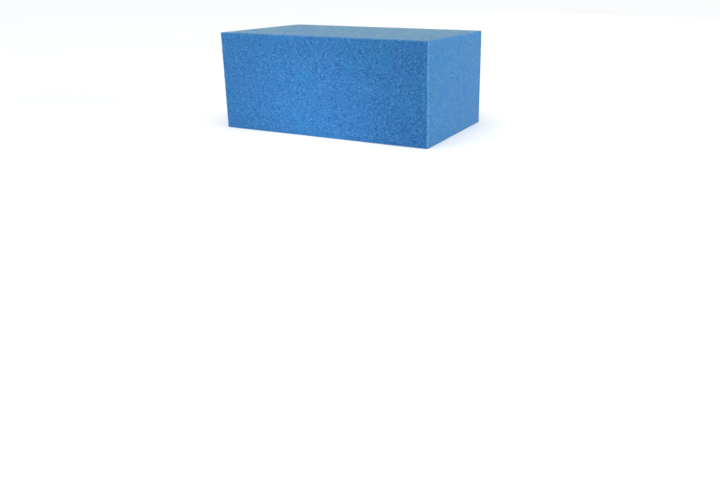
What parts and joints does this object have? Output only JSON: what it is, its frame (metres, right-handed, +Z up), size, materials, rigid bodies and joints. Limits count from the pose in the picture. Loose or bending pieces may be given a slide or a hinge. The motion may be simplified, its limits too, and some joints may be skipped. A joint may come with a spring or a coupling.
{
  "type": "acoustic foam block",
  "caption": "Rectangular block of open-cell polyurethane foam with flat cut faces, eased edges and small opened bubbles, for absorbing sound, padding and packing.",
  "frame": {"origin": "centre of the large face that the block stands on", "axes": "+X along the block's length, +Y along its width towards the back, +Z up through its height"},
  "size_m": [0.3, 0.18, 0.127],
  "materials": {
    "foam": "matte open-cell foam, cut surface"
  },
  "bodies": {
    "root": {"foam_block": "foam"}
  },
  "joints": []
}
